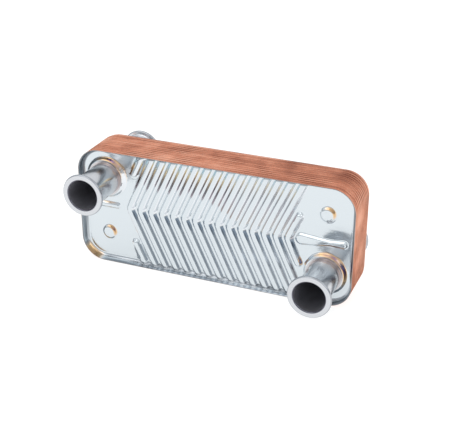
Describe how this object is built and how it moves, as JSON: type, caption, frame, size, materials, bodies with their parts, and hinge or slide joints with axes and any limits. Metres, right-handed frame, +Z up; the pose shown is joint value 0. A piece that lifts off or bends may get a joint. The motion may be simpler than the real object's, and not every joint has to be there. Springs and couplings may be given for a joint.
{
  "type": "plate heat exchanger",
  "caption": "Brazed plate heat exchanger: nested herringbone plates with flared skirts and flanged tubes at opposite corners.",
  "frame": {"origin": "under the middle of the whole, on the level of the plates' long lower edges", "axes": "+X along the plates, -Y out of the front cover, +Z up"},
  "size_m": [0.192, 0.086, 0.0816],
  "materials": {
    "cover_steel": "bright rolled stainless steel, faintly wavy from pressing, with heat tint round the tubes",
    "tube_steel": "smooth drawn stainless steel with straw and blue heat tint near the braze",
    "plate_edge_copper": "stainless steel skirt wetted with copper braze, satin, streaked along its length",
    "braze_copper": "copper braze metal, flowed and slightly uneven",
    "ring_steel": "plain stainless steel"
  },
  "bodies": {
    "root": {"front_cover": "cover_steel", "channel_plate_01": "plate_edge_copper", "channel_plate_02": "plate_edge_copper", "channel_plate_03": "plate_edge_copper", "channel_plate_04": "plate_edge_copper", "channel_plate_05": "plate_edge_copper", "turning_plate": "plate_edge_copper", "channel_plate_06": "plate_edge_copper", "channel_plate_07": "plate_edge_copper", "channel_plate_08": "plate_edge_copper", "channel_plate_09": "plate_edge_copper", "back_cover": "cover_steel", "skirt_seam_01": "braze_copper", "skirt_seam_02": "braze_copper", "skirt_seam_03": "braze_copper", "skirt_seam_04": "braze_copper", "skirt_seam_05": "braze_copper", "skirt_seam_06": "braze_copper", "skirt_seam_07": "braze_copper", "skirt_seam_08": "braze_copper", "skirt_seam_09": "braze_copper", "skirt_seam_10": "braze_copper", "skirt_seam_11": "braze_copper", "port_ring_left": "ring_steel", "port_ring_right": "ring_steel", "front_tube_upper": "tube_steel", "front_tube_lower": "tube_steel", "rear_tube_upper": "tube_steel", "rear_tube_lower": "tube_steel", "braze_ring_front_upper": "braze_copper", "braze_ring_front_lower": "braze_copper", "braze_ring_rear_upper": "braze_copper", "braze_ring_rear_lower": "braze_copper"}
  },
  "joints": []
}
